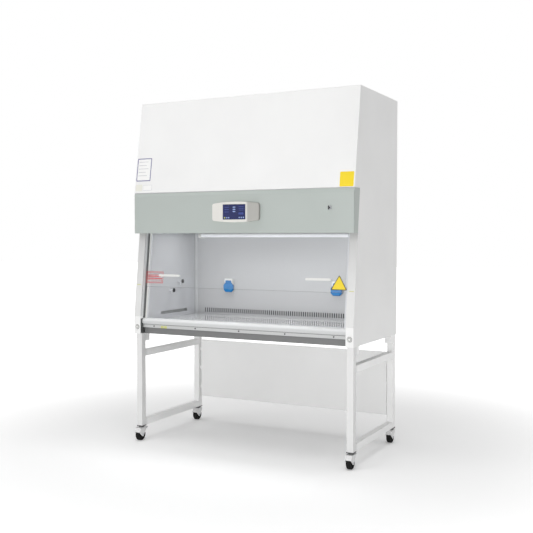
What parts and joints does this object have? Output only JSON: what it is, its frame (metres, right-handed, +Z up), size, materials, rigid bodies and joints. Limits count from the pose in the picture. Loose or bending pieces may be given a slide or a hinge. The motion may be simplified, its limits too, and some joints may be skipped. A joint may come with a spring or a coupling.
{
  "type": "biosafety cabinet",
  "caption": "Free-standing laboratory biosafety cabinet on a castor stand, with a sloping glass sash, stainless work chamber, touch control panel and white coated casing.",
  "frame": {"origin": "centre of the whole cabinet's box at floor level, where the castors stand", "axes": "+X to the right seen from the front, +Y to the back, +Z up"},
  "size_m": [1.5, 0.767, 2.16],
  "materials": {
    "white_coat": "satin",
    "grey_coat": "satin",
    "stainless": "brushed",
    "zinc": "satin",
    "alloy": "satin",
    "glazing": "clear",
    "lamp_glass": "clear",
    "black_plastic": "matte",
    "white_plastic": "satin",
    "screen_face": "gloss",
    "blue_plastic": "gloss",
    "filter_medium": "matte",
    "wheel_rubber": "matte",
    "belt_rubber": "matte",
    "bright": "polished"
  },
  "bodies": {
    "body": {"side_shell_left": "white_coat", "side_shell_right": "white_coat", "back_panel": "white_coat", "top_panel": "white_coat", "hood_cover": "white_coat", "fascia": "grey_coat", "base_pan": "grey_coat", "front_rail": "grey_coat", "front_lip": "white_coat", "work_tray": "stainless", "chamber_wall_left": "stainless", "chamber_wall_right": "stainless", "chamber_back_wall": "stainless", "flow_diffuser": "stainless", "power_inlet": "black_plastic", "rail_screws": "black_plastic", "sash_guides": "black_plastic", "lift_belts": "belt_rubber", "lift_brackets": "zinc", "lift_motor": "black_plastic", "supply_filter": "filter_medium", "exhaust_filter": "filter_medium", "supply_plenum": "zinc", "blower_housing": "zinc", "blower_motor": "black_plastic", "electrical_box": "zinc", "lamp_tube": "lamp_glass", "lamp_holders": "white_plastic", "sockets": "white_plastic", "tap_bodies": "bright", "control_housing": "white_plastic", "touch_screen": "screen_face", "lock_barrel": "bright", "column_caps": "black_plastic", "stand_frame_left": "white_coat", "stand_frame_right": "white_coat", "stand_back_sheet": "white_coat", "castor_plates": "zinc"},
    "sash": {"sash_glass": "glazing", "sash_handles": "white_plastic", "sash_top_rail": "alloy"},
    "lift_drive": {"lift_shaft": "zinc"},
    "idler_left": {"idler_left": "black_plastic"},
    "idler_right": {"idler_right": "black_plastic"},
    "impeller": {"blower_impeller": "zinc"},
    "key": {"lock_key": "bright"},
    "cover_left": {"socket_cover_left": "blue_plastic"},
    "cover_right": {"socket_cover_right": "blue_plastic"},
    "knob_upper": {"tap_knob_upper": "black_plastic"},
    "knob_lower": {"tap_knob_lower": "black_plastic"},
    "fork_front_left": {"castor_fork_front_left": "white_plastic"},
    "wheel_front_left": {"castor_wheel_front_left": "wheel_rubber"},
    "fork_front_right": {"castor_fork_front_right": "white_plastic"},
    "wheel_front_right": {"castor_wheel_front_right": "wheel_rubber"},
    "fork_rear_left": {"castor_fork_rear_left": "white_plastic"},
    "wheel_rear_left": {"castor_wheel_rear_left": "wheel_rubber"},
    "fork_rear_right": {"castor_fork_rear_right": "white_plastic"},
    "wheel_rear_right": {"castor_wheel_rear_right": "wheel_rubber"},
    "pedal_left": {"castor_pedal_front_left": "white_plastic"},
    "pedal_right": {"castor_pedal_front_right": "white_plastic"}
  },
  "joints": [
    {"name": "sash_slide", "type": "slide", "parent": "body", "child": "sash", "axis": [0, 0.1172, 0.9931], "range_m": [-0.2, 0.24]},
    {"name": "lift_turn", "type": "hinge", "parent": "body", "child": "lift_drive", "pos_m": [0, -0.18287, 1.84154], "axis": [1, 0, 0], "continuous": true},
    {"name": "idler_turn_left", "type": "hinge", "parent": "body", "child": "idler_left", "pos_m": [-0.728, -0.24381, 1.32512], "axis": [1, 0, 0], "continuous": true},
    {"name": "idler_turn_right", "type": "hinge", "parent": "body", "child": "idler_right", "pos_m": [0.728, -0.24381, 1.32512], "axis": [1, 0, 0], "continuous": true},
    {"name": "fan_spin", "type": "hinge", "parent": "body", "child": "impeller", "pos_m": [0, 0.19, 1.79], "axis": [0, 1, 0], "continuous": true},
    {"name": "key_turn", "type": "hinge", "parent": "body", "child": "key", "pos_m": [0.602, -0.36, 1.472], "axis": [0, 1, 0], "range_deg": [0, 90]},
    {"name": "cover_swing_left", "type": "hinge", "parent": "body", "child": "cover_left", "pos_m": [-0.398, 0.2377, 1.006], "axis": [-1, 0, 0], "range_deg": [0, 110]},
    {"name": "cover_swing_right", "type": "hinge", "parent": "body", "child": "cover_right", "pos_m": [0.398, 0.2377, 1.006], "axis": [-1, 0, 0], "range_deg": [0, 110]},
    {"name": "knob_turn_upper", "type": "hinge", "parent": "body", "child": "knob_upper", "pos_m": [-0.649, 0.043, 1.009], "axis": [1, 0, 0], "range_deg": [0, 90]},
    {"name": "knob_turn_lower", "type": "hinge", "parent": "body", "child": "knob_lower", "pos_m": [-0.649, -0.065, 0.954], "axis": [1, 0, 0], "range_deg": [0, 90]},
    {"name": "castor_swivel_front_left", "type": "hinge", "parent": "body", "child": "fork_front_left", "pos_m": [-0.724, -0.322, 0.088], "axis": [0, 0, 1], "continuous": true},
    {"name": "castor_roll_front_left", "type": "hinge", "parent": "fork_front_left", "child": "wheel_front_left", "pos_m": [-0.724, -0.334, 0.0375], "axis": [1, 0, 0], "continuous": true},
    {"name": "castor_swivel_front_right", "type": "hinge", "parent": "body", "child": "fork_front_right", "pos_m": [0.724, -0.322, 0.088], "axis": [0, 0, 1], "continuous": true},
    {"name": "castor_roll_front_right", "type": "hinge", "parent": "fork_front_right", "child": "wheel_front_right", "pos_m": [0.724, -0.334, 0.0375], "axis": [1, 0, 0], "continuous": true},
    {"name": "castor_swivel_rear_left", "type": "hinge", "parent": "body", "child": "fork_rear_left", "pos_m": [-0.724, 0.358, 0.088], "axis": [0, 0, 1], "continuous": true},
    {"name": "castor_roll_rear_left", "type": "hinge", "parent": "fork_rear_left", "child": "wheel_rear_left", "pos_m": [-0.724, 0.346, 0.0375], "axis": [1, 0, 0], "continuous": true},
    {"name": "castor_swivel_rear_right", "type": "hinge", "parent": "body", "child": "fork_rear_right", "pos_m": [0.724, 0.358, 0.088], "axis": [0, 0, 1], "continuous": true},
    {"name": "castor_roll_rear_right", "type": "hinge", "parent": "fork_rear_right", "child": "wheel_rear_right", "pos_m": [0.724, 0.346, 0.0375], "axis": [1, 0, 0], "continuous": true},
    {"name": "pedal_tilt_left", "type": "hinge", "parent": "fork_front_left", "child": "pedal_left", "pos_m": [-0.724, -0.304, 0.07], "axis": [-1, 0, 0], "range_deg": [0, 14]},
    {"name": "pedal_tilt_right", "type": "hinge", "parent": "fork_front_right", "child": "pedal_right", "pos_m": [0.724, -0.304, 0.07], "axis": [-1, 0, 0], "range_deg": [0, 14]}
  ],
  "couplings": [
    {"joint": "lift_turn", "follows": "sash_slide", "rad_per_m": -63.09},
    {"joint": "idler_turn_left", "follows": "sash_slide", "rad_per_m": -63.09},
    {"joint": "idler_turn_right", "follows": "sash_slide", "rad_per_m": -63.09}
  ]
}
